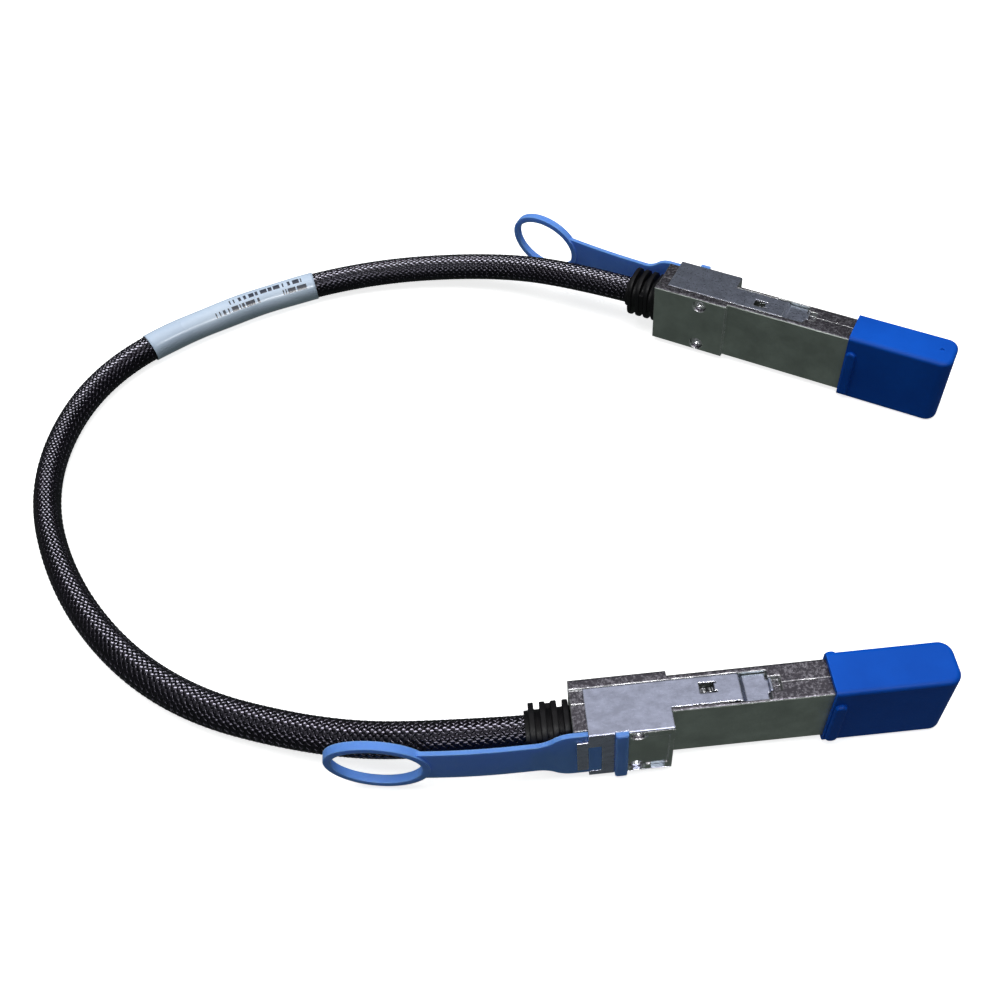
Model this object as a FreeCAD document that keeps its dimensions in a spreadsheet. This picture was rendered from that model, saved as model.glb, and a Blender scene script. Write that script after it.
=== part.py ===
import FreeCAD, Part
import math
import os
import re

import Sketcher
from FreeCAD import Placement, Rotation, Vector

# A short network cable: a braided cable with a latching metal plug on each end.
# Each plug stands on its narrow side. In a plug's own axes, x runs from the rear face of the
# housing to the nose, y runs from the plain wide face to the pull tab's wide face, and z runs
# across the width. All sizes are in millimetres, angles in degrees.
SIZES = {
    # Plug housing
    "module_width": 18.35,
    "module_height": 8.5,
    "housing_length": 72.4,
    "grip_length": 20.5,
    "grip_drop": 1.1,
    "grip_rise": 3.65,
    "seam_height": 0.2,
    "housing_wall": 1.2,
    "mouth_wall": 1.075,
    "mouth_start": 45.0,
    "nose_bevel": 0.4,
    "wire_room": 10.0,
    "wire_room_start": 7.4,
    "notch_rear": 16.0,
    "notch_length": 3.0,
    "notch_inner": 6.0,
    "notch_depth": 0.9,
    "panel_depth": 0.3,
    "panel_border": 1.0,
    "panel_margin": 2.2,
    "corner_round": 0.5,
    "fit_gap": 0.1,
    # Rivets that hold the two halves together
    "rivet_place": 13.1,
    "rivet_spread": 13.6,
    "rivet_shank": 1.7,
    "rivet_head": 3.4,
    "rivet_head_height": 0.6,
    "rivet_dimple": 1.7,
    "rivet_dimple_depth": 0.4,
    "rivet_sink": 1.4,
    # Sheet metal slider that frees the latch
    "sheet": 0.5,
    "slide_gap": 0.1,
    "travel": 2.2,
    "arm_rear": 2.9,
    "arm_low": 2.95,
    "arm_high": 3.25,
    "arm_step": 35.0,
    "web_front": 8.3,
    "web_tongue_rear": 0.5,
    "web_tongue_width": 12.4,
    "web_window_rear": 2.8,
    "web_window_length": 2.8,
    "web_window_width": 11.2,
    "web_window_shift": 1.4,
    "window_rear": 26.7,
    "window_front": 30.3,
    "window_width": 2.8,
    "window_middle": -0.35,
    "latch_depth": 0.9,
    "latch_low": 2.75,
    "latch_high": 3.5,
    "latch_step": 1.0,
    "latch_front": 40.6,
    "tongue_front": 41.6,
    "tongue_width": 3.0,
    "well_front": 43.5,
    "tongue_middle": 0.3,
    # Return springs
    "spring_seat": 22.5,
    "spring_diameter": 2.2,
    "spring_wire": 0.34,
    "spring_turns": 6.0,
    "spring_lug_width": 1.8,
    # Pull tab
    "tab_thickness": 1.05,
    "strap_width": 10.7,
    "flare_width": 16.8,
    "flare_end": 0.4,
    "neck_end": 8.0,
    "bar_length": 2.6,
    "bar_proud": 1.05,
    "bar_wrap": 0.35,
    "bar_overhang": 0.12,
    "loop_start": 30.0,
    "loop_length": 22.4,
    "loop_width": 17.6,
    "loop_wall": 1.6,
    "loop_depth": 2.0,
    "tab_a_bend_start": 2.0,
    "tab_a_bend_radius": 240.0,
    "tab_b_bend_start": 12.0,
    "tab_b_bend_radius": 190.0,
    # Circuit card, its contacts and its wires
    "card_thickness": 1.0,
    "card_rail": 0.5,
    "card_setback": 1.5,
    "card_tail": 34.0,
    "pad_pitch": 0.8,
    "pad_margin": 0.8,
    "pad_width": 0.54,
    "pad_length": 2.4,
    "pad_height": 0.05,
    "pad_setback": 0.4,
    "chip_place": 48.0,
    "chip_length": 3.0,
    "chip_width": 4.4,
    "chip_height": 1.0,
    "chip_spacing": 6.4,
    "wire_diameter": 1.1,
    "wire_pitch": 1.4,
    "wire_count": 4.0,
    "wire_overlap": 3.0,
    # Cable, crimp ring and strain relief
    "cable_diameter": 7.4,
    "cable_height": 1.0,
    "cable_entry": 6.2,
    "lead_out": 24.0,
    "crimp_start": 2.9,
    "crimp_wall": 0.8,
    "flange_start": 1.5,
    "flange_length": 1.2,
    "flange_diameter": 10.6,
    "neck_diameter": 9.4,
    "rib_count": 4.0,
    "rib_pitch": 2.4,
    "rib_thickness": 1.2,
    "rib_first": 0.3,
    "rib_width": 13.6,
    "rib_height": 10.3,
    "rib_round": 4.6,
    "bridge_width": 6.4,
    "bridge_height": 9.7,
    "boot_tail": 9.7,
    "boot_tail_diameter": 9.2,
    "label_wall": 0.15,
    "label_start": 235.0,
    "label_length": 52.0,
    # Dust cap
    "cap_cover": 18.7,
    "cap_length": 26.1,
    "cap_side_wall": 1.15,
    "cap_face_wall": 0.75,
    "cap_end_wall": 2.0,
    "cap_stop_count": 3.0,
    "cap_stop_wall": 1.0,
    "cap_gap": 0.12,
    "cap_end_round": 3.0,
    "cap_edge_round": 1.2,
    "cap_rib_setback": 0.25,
    "cap_rib_length": 2.6,
    "cap_rib_proud": 0.9,
    "cap_rib_reach": 15.0,
    "cap_rib_inset": 1.4,
    "cap_rib_round": 0.6,
    "cap_mark_diameter": 1.1,
    "cap_mark_depth": 0.3,
    "cap_mark_setback": 3.6,
    # Where the plugs lie: the rear end of each housing, on the plug's middle
    "plug_b_x": -28.545,
    "plug_b_y": -78.805,
    "plug_a_x": 11.615,
    "plug_a_y": 48.825,
    "plug_a_heading": -31.89,
}

# Cable route between the plugs, from plug b to plug a: the x and y are counted from plug b's
# rear end, the height from the floor
ROUTE = [
    (-53.9, 5.1, 4.6),
    (-90.9, 20.1, 3.95),
    (-118.0, 50.7, 3.95),
    (-131.8, 90.0, 3.95),
    (-120.9, 129.0, 3.95),
    (-85.2, 149.9, 3.95),
    (-46.6, 160.8, 3.95),
    (-6.7, 156.7, 5.6),
]
ARC_SHARE = 0.45

HALF_WIDTH = "module_width / 2"
HALF_HEIGHT = "module_height / 2"
GRIP_TOP = "module_height / 2 + grip_rise"
GRIP_FLOOR = "-module_height / 2 - grip_drop"
ARM_INSIDE = "module_width / 2 - sheet"
ARM_RECESS = "module_width / 2 - sheet - slide_gap"
WEB_UNDER = GRIP_TOP + " - sheet"
TAB_UNDER = WEB_UNDER + " - tab_thickness"
TAB_FLOOR = TAB_UNDER + " - slide_gap"
BAR_FRONT = "web_front + slide_gap + bar_length"
CARD_FRONT = "housing_length - card_setback"
CARD_HALF = "module_width / 2 - mouth_wall - fit_gap"
CAP_RIM = "housing_length - cap_cover"
AXIS_HEIGHT = "module_width / 2 + cap_gap + cap_side_wall"
OUTSIDE = 60.0
MATH_WORDS = {"floor", "sqrt"}

doc = FreeCAD.newDocument("network_cable")
sheet = doc.addObject("Spreadsheet::Sheet", "sizes")
for row, (alias, size) in enumerate(SIZES.items(), start=1):
    sheet.set(f"A{row}", str(size))
    sheet.setAlias(f"A{row}", alias)
doc.recompute()


def formula(text):
    """Write plain size names as references to the sheet's cells."""
    def cell(match):
        word = match.group()
        return word if word in MATH_WORDS else "sizes." + word
    return re.sub(r"[a-z][a-z_]*", cell, str(text))


def value(text):
    """Work a formula out as a number."""
    return float(sheet.evalExpression(formula(text)))


def bind(thing, prop, text):
    """Tie a property to a formula of the sheet's sizes."""
    thing.setExpression(prop, formula(text))


def new_body(name, place):
    """Start a sub-part that lies where its plug lies."""
    body = doc.addObject("PartDesign::Body", name)
    body.Label = name
    body.Placement = place
    return body


def origin_plane(body, role):
    """Find one of a body's own origin planes."""
    return [plane for plane in body.Origin.OriginFeatures if plane.Role == role][0]


def draw_circle(drawing, x, y, radius):
    """Draw a circle whose centre and radius follow formulas."""
    circle = Part.Circle(Vector(value(x), value(y), 0), Vector(0, 0, 1), value(radius))
    edge = drawing.addGeometry(circle, False)
    limits = [("DistanceX", x), ("DistanceY", y)]
    for kind, text in limits:
        number = drawing.addConstraint(Sketcher.Constraint(kind, -1, 1, edge, 3, value(text)))
        bind(drawing, f"Constraints[{number}]", text)
    number = drawing.addConstraint(Sketcher.Constraint("Radius", edge, value(radius)))
    bind(drawing, f"Constraints[{number}]", radius)


def draw_ellipse(drawing, x, half_length, half_width):
    """Draw an ellipse on the sketch's first axis, longest along it."""
    middle = Vector(value(x), 0, 0)
    tip = middle + Vector(value(half_length), 0, 0)
    side = middle + Vector(0, value(half_width), 0)
    edge = drawing.addGeometry(Part.Ellipse(tip, side, middle), False)
    drawing.exposeInternalGeometry(edge)
    long_axis = edge + 1
    short_axis = edge + 2
    drawing.addConstraint(Sketcher.Constraint("Horizontal", long_axis))
    drawing.addConstraint(Sketcher.Constraint("PointOnObject", edge, 3, -1))
    number = drawing.addConstraint(Sketcher.Constraint("DistanceX", -1, 1, edge, 3, value(x)))
    bind(drawing, f"Constraints[{number}]", x)
    for axis, text in [(long_axis, half_length), (short_axis, half_width)]:
        number = drawing.addConstraint(Sketcher.Constraint("Distance", axis, 2 * value(text)))
        bind(drawing, f"Constraints[{number}]", f"2 * ({text})")


def arc_between(start, end, radius, side):
    """An arc from start to end; side is 1 where its centre lies left of the way, -1 where right."""
    chord = end - start
    left = Vector(-chord.y, chord.x, 0).normalize()
    rise = math.sqrt(radius ** 2 - (chord.Length / 2) ** 2)
    centre = (start + end) / 2 + left * side * rise
    ends = (start, end) if side > 0 else (end, start)
    angles = [math.atan2(point.y - centre.y, point.x - centre.x) for point in ends]
    return Part.ArcOfCircle(Part.Circle(centre, Vector(0, 0, 1), radius), *angles)


def draw_outline(drawing, points, arcs=None):
    """Draw a closed outline through points given as pairs of formulas.

    arcs maps the number of a side to its radius and to the side on which its centre lies.
    """
    arcs = arcs or {}
    corners = [Vector(value(x), value(y), 0) for x, y in points]
    sides = []
    for number, start in enumerate(corners):
        end = corners[(number + 1) % len(corners)]
        if number in arcs:
            radius, turn = arcs[number]
            edge = drawing.addGeometry(arc_between(start, end, value(radius), turn), False)
            sides.append((edge, 1, 2) if turn > 0 else (edge, 2, 1))
            limit = drawing.addConstraint(Sketcher.Constraint("Radius", edge, value(radius)))
            bind(drawing, f"Constraints[{limit}]", radius)
        else:
            edge = drawing.addGeometry(Part.LineSegment(start, end), False)
            sides.append((edge, 1, 2))
    for (edge, _, last), (following, first, _) in zip(sides, sides[1:] + sides[:1]):
        drawing.addConstraint(Sketcher.Constraint("Coincident", edge, last, following, first))
    for (x, y), (edge, first, _) in zip(points, sides):
        for kind, text in [("DistanceX", x), ("DistanceY", y)]:
            limit = drawing.addConstraint(Sketcher.Constraint(kind, -1, 1, edge, first, value(text)))
            bind(drawing, f"Constraints[{limit}]", text)


def rectangle(low_x, high_x, low_y, high_y):
    """The four corners of a rectangle."""
    return [(low_x, low_y), (high_x, low_y), (high_x, high_y), (low_x, high_y)]


def new_sketch(body, name, role, level="0"):
    """Start a sketch on an origin plane of the body, lifted along the plane's own row axis."""
    drawing = body.newObject("Sketcher::SketchObject", name)
    drawing.AttachmentSupport = [(origin_plane(body, role), "")]
    drawing.MapMode = "FlatFace"
    toward = "-1" if role == "XZ_Plane" else "1"
    bind(drawing, "AttachmentOffset.Base.z", f"{toward} * ({level})")
    return drawing


def extrude(body, kind, name, role, low, high, outlines=(), circles=(), ellipses=(), arcs=None):
    """Pad or pocket outlines between two levels along the axis that the plane faces."""
    drawing = new_sketch(body, name + "_outline", role, f"(({low}) + ({high})) / 2")
    for outline in outlines:
        draw_outline(drawing, outline, arcs)
    for circle in circles:
        draw_circle(drawing, *circle)
    for ellipse in ellipses:
        draw_ellipse(drawing, *ellipse)
    feature = body.newObject("PartDesign::" + kind, name)
    feature.Profile = drawing
    feature.SideType = "Symmetric"
    bind(feature, "Length", f"({high}) - ({low})")
    body.Tip = feature
    return feature


def pad(body, name, role, low, high, outlines=(), **shapes):
    """Add material between two levels."""
    return extrude(body, "Pad", name, role, low, high, outlines, **shapes)


def pocket(body, name, role, low, high, outlines=(), **shapes):
    """Take material away between two levels."""
    return extrude(body, "Pocket", name, role, low, high, outlines, **shapes)


def turned(body, kind, name, points):
    """Turn an outline round the cable's axis: a Revolution adds, a Groove takes away."""
    drawing = new_sketch(body, name + "_outline", "XY_Plane")
    bind(drawing, "AttachmentOffset.Base.y", "cable_height")
    draw_outline(drawing, points)
    feature = body.newObject("PartDesign::" + kind, name)
    feature.Profile = drawing
    feature.ReferenceAxis = (drawing, ["H_Axis"])
    feature.Angle = 360
    body.Tip = feature
    return feature


def mirrored(body, name, features):
    """Repeat features on the other narrow side of the plug."""
    mirror = body.newObject("PartDesign::Mirrored", name)
    mirror.Originals = features
    mirror.MirrorPlane = (origin_plane(body, "XY_Plane"), [""])
    body.Tip = mirror
    return mirror


def repeated(body, name, features, axis, spacing, count):
    """Repeat features in a row along an axis of the body."""
    row = body.newObject("PartDesign::LinearPattern", name)
    row.Originals = features
    row.Direction = ([line for line in body.Origin.OriginFeatures if line.Role == axis][0], [""])
    row.Mode = "Spacing"
    bind(row, "Offset", spacing)
    bind(row, "Occurrences", count)
    body.Tip = row
    return row


def rounded(body, name, radius, chosen, kind="Fillet", prop="Radius"):
    """Round the edges that the test picks, or bevel them with the kind Chamfer."""
    doc.recompute()
    base = body.Tip
    edges = [f"Edge{n}" for n, edge in enumerate(base.Shape.Edges, start=1) if chosen(edge)]
    feature = body.newObject("PartDesign::" + kind, name)
    feature.Base = (base, edges)
    bind(feature, prop, radius)
    body.Tip = feature
    return feature


def runs_along(edge, axis):
    """Whether an edge is straight and lies along an axis."""
    ends = [vertex.Point for vertex in edge.Vertexes]
    if len(ends) < 2 or edge.Curve.TypeId != "Part::GeomLine":
        return False
    way = (ends[1] - ends[0]).normalize()
    return abs(way.dot(axis)) > 0.999


ALONG = Vector(1, 0, 0)
UP = Vector(0, 1, 0)
ACROSS = Vector(0, 0, 1)


def near(number, text):
    """Whether a number is where a formula puts it."""
    return abs(number - value(text)) < 1e-4


def nose_bevel(body):
    """Bevel the outer edges of the nose, so that it finds its way into a cage."""
    def on_nose(edge):
        ends = [vertex.Point for vertex in edge.Vertexes]
        on_seam = all(near(point.y, "seam_height") for point in ends)
        return all(near(point.x, "housing_length") for point in ends) and not on_seam
    rounded(body, "nose_edges", "nose_bevel", on_nose, "Chamfer", "Size")


def slider_room(body):
    """Cut the room for the slider's arm, latch and spring into one half, on both narrow sides."""
    half = HALF_WIDTH
    track = [
        (f"-{OUTSIDE}", "-arm_low - slide_gap"),
        ("arm_step + slide_gap", "-arm_low - slide_gap"),
        ("arm_step + slide_gap", "arm_high + slide_gap"),
        ("grip_length", "arm_high + slide_gap"),
        ("grip_length", f"{OUTSIDE}"),
        (f"-{OUTSIDE}", f"{OUTSIDE}"),
    ]
    features = [pocket(body, "arm_track", "XY_Plane", ARM_RECESS, f"{half} + sheet", [track])]
    tongue_low = "tongue_middle - tongue_width / 2 - 2 * slide_gap"
    tongue_high = "tongue_middle + tongue_width / 2 + 2 * slide_gap"
    well = [
        ("arm_step - sheet - travel - slide_gap", "-latch_low - 2 * slide_gap"),
        ("latch_front + 4 * slide_gap", "-latch_low - 2 * slide_gap"),
        ("latch_front + 4 * slide_gap", tongue_low),
        ("well_front", tongue_low),
        ("well_front", tongue_high),
        ("latch_front + 4 * slide_gap", tongue_high),
        ("latch_front + 4 * slide_gap", "latch_high + 2 * slide_gap"),
        ("arm_step - sheet - travel - slide_gap", "latch_high + 2 * slide_gap"),
    ]
    well_floor = f"{half} - latch_depth - sheet - slide_gap"
    features.append(pocket(body, "latch_well", "XY_Plane", well_floor, f"{half} + sheet", [well]))
    spring_box = rectangle("spring_seat", "window_front + slide_gap",
                           "window_middle - window_width / 2", "window_middle + window_width / 2")
    spring_floor = f"{ARM_RECESS} - spring_diameter - 2 * slide_gap"
    features.append(pocket(body, "spring_pocket", "XY_Plane", spring_floor, f"{half} + sheet", [spring_box]))
    return mirrored(body, "other_side", features)


def cable_entry(body):
    """Cut the stepped round way for the strain relief and the crimp ring."""
    crimp_radius = "cable_diameter / 2 + crimp_wall + 2 * fit_gap"
    steps = [
        (f"-{OUTSIDE}", "0"),
        ("wire_room_start + fit_gap", "0"),
        ("wire_room_start + fit_gap", crimp_radius),
        ("flange_start + flange_length + fit_gap", crimp_radius),
        ("flange_start + flange_length + fit_gap", "flange_diameter / 2 + fit_gap"),
        ("flange_start - fit_gap", "flange_diameter / 2 + fit_gap"),
        ("flange_start - fit_gap", "neck_diameter / 2 + fit_gap"),
        (f"-{OUTSIDE}", "neck_diameter / 2 + fit_gap"),
    ]
    turned(body, "Groove", "cable_way", steps)


def hollow(body, inner, rail, open_side):
    """Hollow one half out: the room for the wires, and the open mouth with rails for the card."""
    low, high = sorted([inner, open_side], key=value)
    wires = rectangle("wire_room_start", "mouth_start + fit_gap", "-wire_room / 2", "wire_room / 2")
    pocket(body, "wire_space", "XZ_Plane", low, high, [wires])
    mouth_half = f"{HALF_WIDTH} - mouth_wall"
    front = "housing_length + 1"
    mouth = rectangle("mouth_start", front, f"-({mouth_half} - card_rail)", f"{mouth_half} - card_rail")
    pocket(body, "mouth", "XZ_Plane", low, high, [mouth])
    low, high = sorted([rail, open_side], key=value)
    bed = rectangle("mouth_start", front, f"-({mouth_half})", mouth_half)
    pocket(body, "card_bed", "XZ_Plane", low, high, [bed])


def rivet_holes(body, outer, inward):
    """Cut the two rivet holes with their sunk mouths on the outer face."""
    spots = [("rivet_place", "rivet_spread / 2"), ("rivet_place", "-rivet_spread / 2")]
    shank = [(x, y, "rivet_shank / 2 + fit_gap / 2") for x, y in spots]
    heads = [(x, y, "rivet_head / 2 + 2 * fit_gap") for x, y in spots]
    pocket(body, "rivet_ways", "XZ_Plane", f"-{OUTSIDE}", f"{OUTSIDE}", circles=shank)
    sunk = f"({outer}) + ({inward}) * rivet_sink"
    beyond = f"({outer}) - ({inward}) * rivet_sink"
    low, high = sorted([sunk, beyond], key=value)
    pocket(body, "rivet_mouths", "XZ_Plane", low, high, circles=heads)


def lower_housing(name, place):
    """The half of the casting on the plain wide face."""
    body = new_body(name, place)
    side = [
        ("0", GRIP_FLOOR),
        ("grip_length", GRIP_FLOOR),
        ("grip_length", f"-{HALF_HEIGHT}"),
        ("housing_length", f"-{HALF_HEIGHT}"),
        ("housing_length", "seam_height"),
        ("0", "seam_height"),
    ]
    pad(body, "casting", "XY_Plane", f"-{HALF_WIDTH}", HALF_WIDTH, [side])
    outer = [GRIP_FLOOR, f"-{HALF_HEIGHT}"]
    rounded(body, "long_edges", "corner_round",
            lambda edge: runs_along(edge, ALONG) and any(near(edge.Vertexes[0].Y, y) for y in outer))
    nose_bevel(body)
    hollow(body, f"-{HALF_HEIGHT} + housing_wall", "-card_thickness / 2", "seam_height")
    cable_entry(body)
    rivet_holes(body, GRIP_FLOOR, "1")
    slider_room(body)
    return body


def upper_housing(name, place):
    """The half of the casting under the pull tab, with the step that the tab's root slides in."""
    body = new_body(name, place)
    side = [
        ("0", "seam_height"),
        ("housing_length", "seam_height"),
        ("housing_length", HALF_HEIGHT),
        ("grip_length", HALF_HEIGHT),
        ("grip_length", GRIP_TOP),
        (f"{BAR_FRONT} + slide_gap", GRIP_TOP),
        (f"{BAR_FRONT} + slide_gap", TAB_FLOOR),
        ("0", TAB_FLOOR),
    ]
    pad(body, "casting", "XY_Plane", f"-{HALF_WIDTH}", HALF_WIDTH, [side])
    rounded(body, "long_edges", "corner_round",
            lambda edge: runs_along(edge, ALONG) and near(edge.Vertexes[0].Y, HALF_HEIGHT)
            and near(abs(edge.Vertexes[0].Z), HALF_WIDTH))
    nose_bevel(body)
    half = f"{ARM_RECESS} - panel_margin"
    panel = rectangle(BAR_FRONT, "grip_length - panel_border", f"-({half})", half)
    pocket(body, "panel", "XZ_Plane", f"{GRIP_TOP} - panel_depth", f"{GRIP_TOP} + panel_depth", [panel])
    notch = rectangle("notch_rear", "notch_rear + notch_length", "notch_inner", f"{OUTSIDE}")
    pocket(body, "panel_notch", "XZ_Plane", f"{GRIP_TOP} - notch_depth", f"{GRIP_TOP} + notch_depth", [notch])
    hollow(body, f"{HALF_HEIGHT} - housing_wall", "card_thickness / 2", "seam_height")
    cable_entry(body)
    rivet_holes(body, GRIP_TOP, "-1")
    slider_room(body)
    return body


def housing_rivets(name, place):
    """Two rivets through both halves, with a head sunk in each wide face."""
    body = new_body(name, place)
    low = f"{GRIP_FLOOR} + rivet_sink"
    high = f"{GRIP_TOP} - rivet_sink"
    spots = [("rivet_place", "rivet_spread / 2"), ("rivet_place", "-rivet_spread / 2")]
    shank = [(x, y, "rivet_shank / 2") for x, y in spots]
    heads = [(x, y, "rivet_head / 2") for x, y in spots]
    pad(body, "shanks", "XZ_Plane", low, high, circles=shank)
    pad(body, "lower_heads", "XZ_Plane", f"{low} - rivet_head_height", low, circles=heads)
    pad(body, "upper_heads", "XZ_Plane", high, f"{high} + rivet_head_height", circles=heads)
    dimples = [(x, y, "rivet_dimple / 2") for x, y in spots]
    lower_face = f"{low} - rivet_head_height"
    upper_face = f"{high} + rivet_head_height"
    for word, face in [("lower", lower_face), ("upper", upper_face)]:
        pocket(body, f"{word}_dimples", "XZ_Plane", f"{face} - rivet_dimple_depth",
               f"{face} + rivet_dimple_depth", circles=dimples)
    return body


def web_window(inset):
    """The window in the slider's web, in which a boss of the pull tab sits, drawn in by an inset."""
    return rectangle(f"web_window_rear + {inset}", f"web_window_rear + web_window_length - {inset}",
                     f"web_window_shift - web_window_width / 2 + {inset}",
                     f"web_window_shift + web_window_width / 2 - {inset}")


def latch_slider(name, place):
    """A folded sheet: a web under the pull tab's bar, and an arm along each narrow side."""
    body = new_body(name, place)
    half = HALF_WIDTH
    web = [
        ("web_tongue_rear", "-web_tongue_width / 2"),
        ("arm_rear", "-web_tongue_width / 2"),
        ("arm_rear", f"-{half}"),
        ("web_front", f"-{half}"),
        ("web_front", half),
        ("arm_rear", half),
        ("arm_rear", "web_tongue_width / 2"),
        ("web_tongue_rear", "web_tongue_width / 2"),
    ]
    pad(body, "web", "XZ_Plane", WEB_UNDER, GRIP_TOP, [web])
    hole = web_window("0")
    pocket(body, "web_window", "XZ_Plane", f"{WEB_UNDER} - sheet", f"{GRIP_TOP} + sheet", [hole])
    notch_floor = f"{GRIP_TOP} - bar_wrap"
    bar_rear = "web_front"
    bar_front = f"{BAR_FRONT} + slide_gap / 2"
    arm = [
        ("arm_rear", "-arm_low"),
        ("arm_step", "-arm_low"),
        ("arm_step", "arm_high"),
        ("grip_length - slide_gap", "arm_high"),
        ("grip_length - slide_gap", GRIP_TOP),
        (bar_front, GRIP_TOP),
        (bar_front, notch_floor),
        (bar_rear, notch_floor),
        (bar_rear, GRIP_TOP),
        ("arm_rear", GRIP_TOP),
    ]
    features = [pad(body, "arm", "XY_Plane", ARM_INSIDE, half, [arm])]
    low = "window_middle - window_width / 2 + 2 * slide_gap"
    high = "window_middle + window_width / 2 - 2 * slide_gap"
    window = rectangle("window_rear", "window_front", low, high)
    features.append(pocket(body, "arm_window", "XY_Plane", f"{ARM_INSIDE} - sheet", f"{half} + sheet", [window]))
    lug = rectangle("window_front - sheet", "window_front",
                    "window_middle - spring_lug_width / 2", "window_middle + spring_lug_width / 2")
    features.append(pad(body, "spring_lug", "XY_Plane", f"{ARM_RECESS} - spring_diameter", half, [lug]))
    outer = f"{half} - latch_depth"
    step_end = "arm_step + latch_step"
    curl = "latch_depth"
    tip = "tongue_front"
    curl_end = f"{outer} - sheet + {curl}"
    bent = [
        ("arm_step - sheet", f"{ARM_INSIDE}"),
        (f"{step_end} - sheet", f"{outer} - sheet"),
        (f"{tip} - {curl}", f"{outer} - sheet"),
        (tip, curl_end),
        (tip, f"{half}"),
        (f"{tip} - sheet", f"{half}"),
        (f"{tip} - sheet", curl_end),
        (f"{tip} - {curl}", outer),
        (step_end, outer),
        ("arm_step", half),
        ("arm_step - sheet", half),
    ]
    bends = {2: (curl, 1), 6: (f"{curl} - sheet", -1)}
    features.append(pad(body, "latch_plate", "XZ_Plane", "-latch_low", "latch_high", [bent], arcs=bends))
    past = f"{tip} + sheet"
    for word, side, beyond in [("near", "-1", f"-{OUTSIDE}"), ("far", "1", f"{OUTSIDE}")]:
        shoulder = f"tongue_middle + {side} * tongue_width / 2"
        low, high = sorted([shoulder, beyond], key=value)
        slip = rectangle("latch_front", past, low, high)
        features.append(pocket(body, f"{word}_shoulder", "XY_Plane", f"{outer} - 2 * sheet",
                               f"{half} + sheet", [slip]))
    mirrored(body, "other_arm", features)

    def fold(edge):
        on_web = all(vertex.X < value("web_front + 0.01") for vertex in edge.Vertexes)
        outside = near(edge.Vertexes[0].Y, GRIP_TOP) and near(abs(edge.Vertexes[0].Z), HALF_WIDTH)
        return runs_along(edge, ALONG) and on_web and outside
    rounded(body, "folds", "0.8 * sheet", fold)
    return body


def latch_springs(name, place):
    """The two compression springs that push the slider back to the nose."""
    coil = "(spring_diameter - spring_wire) / 2"
    length = "window_front - sheet - spring_seat - spring_wire - slide_gap / 2"
    level = f"{ARM_RECESS} - spring_diameter / 2 - slide_gap"
    springs = []
    for side in (1, -1):
        helix = doc.addObject("Part::Helix", f"{name}_way_{len(springs)}")
        bind(helix, "Pitch", f"({length}) / spring_turns")
        bind(helix, "Height", length)
        bind(helix, "Radius", coil)
        wire = doc.addObject("Part::Circle", f"{name}_wire_{len(springs)}")
        bind(wire, "Radius", "spring_wire / 2")
        bind(wire, "Placement.Base.x", coil)
        wire.Placement.Rotation = Rotation(Vector(1, 0, 0), 90)
        sweep = doc.addObject("Part::Sweep", f"{name}_coil_{len(springs)}")
        sweep.Sections = [wire]
        sweep.Spine = (helix, ["Edge1"])
        sweep.Solid = True
        sweep.Frenet = True
        start = Vector(value("spring_seat + spring_wire / 2"), value("window_middle"), side * value(level))
        turn = Rotation(Vector(0, 1, 0), 90)
        sweep.Placement = place.multiply(Placement(start, turn))
        springs.append(sweep)
    group = doc.addObject("Part::Compound", name)
    group.Label = name
    group.Links = springs
    return group


def bent_strip(start, end, bend_start, radius, side, middle, thickness):
    """The side outline of a strip that runs to the rear and bends round; side 1 bends to the tab's face."""
    low_radius = f"{radius} + {side} * ({thickness}) / 2"
    high_radius = f"{radius} - {side} * ({thickness}) / 2"
    centre = f"({middle}) + {side} * ({radius})"

    def on_bend(x, reach):
        return (x, f"{centre} - {side} * sqrt(({reach})^2 - (({x}) + {bend_start})^2)")
    straight = value(start) > value(f"-{bend_start}")
    begin = f"-{bend_start}" if straight else start
    points = [on_bend(end, low_radius), on_bend(begin, low_radius)]
    if straight:
        points.append((start, f"({middle}) - ({thickness}) / 2"))
        points.append((start, f"({middle}) + ({thickness}) / 2"))
    points.append(on_bend(begin, high_radius))
    points.append(on_bend(end, high_radius))
    arcs = {0: (low_radius, side), len(points) - 2: (high_radius, -side)}
    return points, arcs


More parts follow.
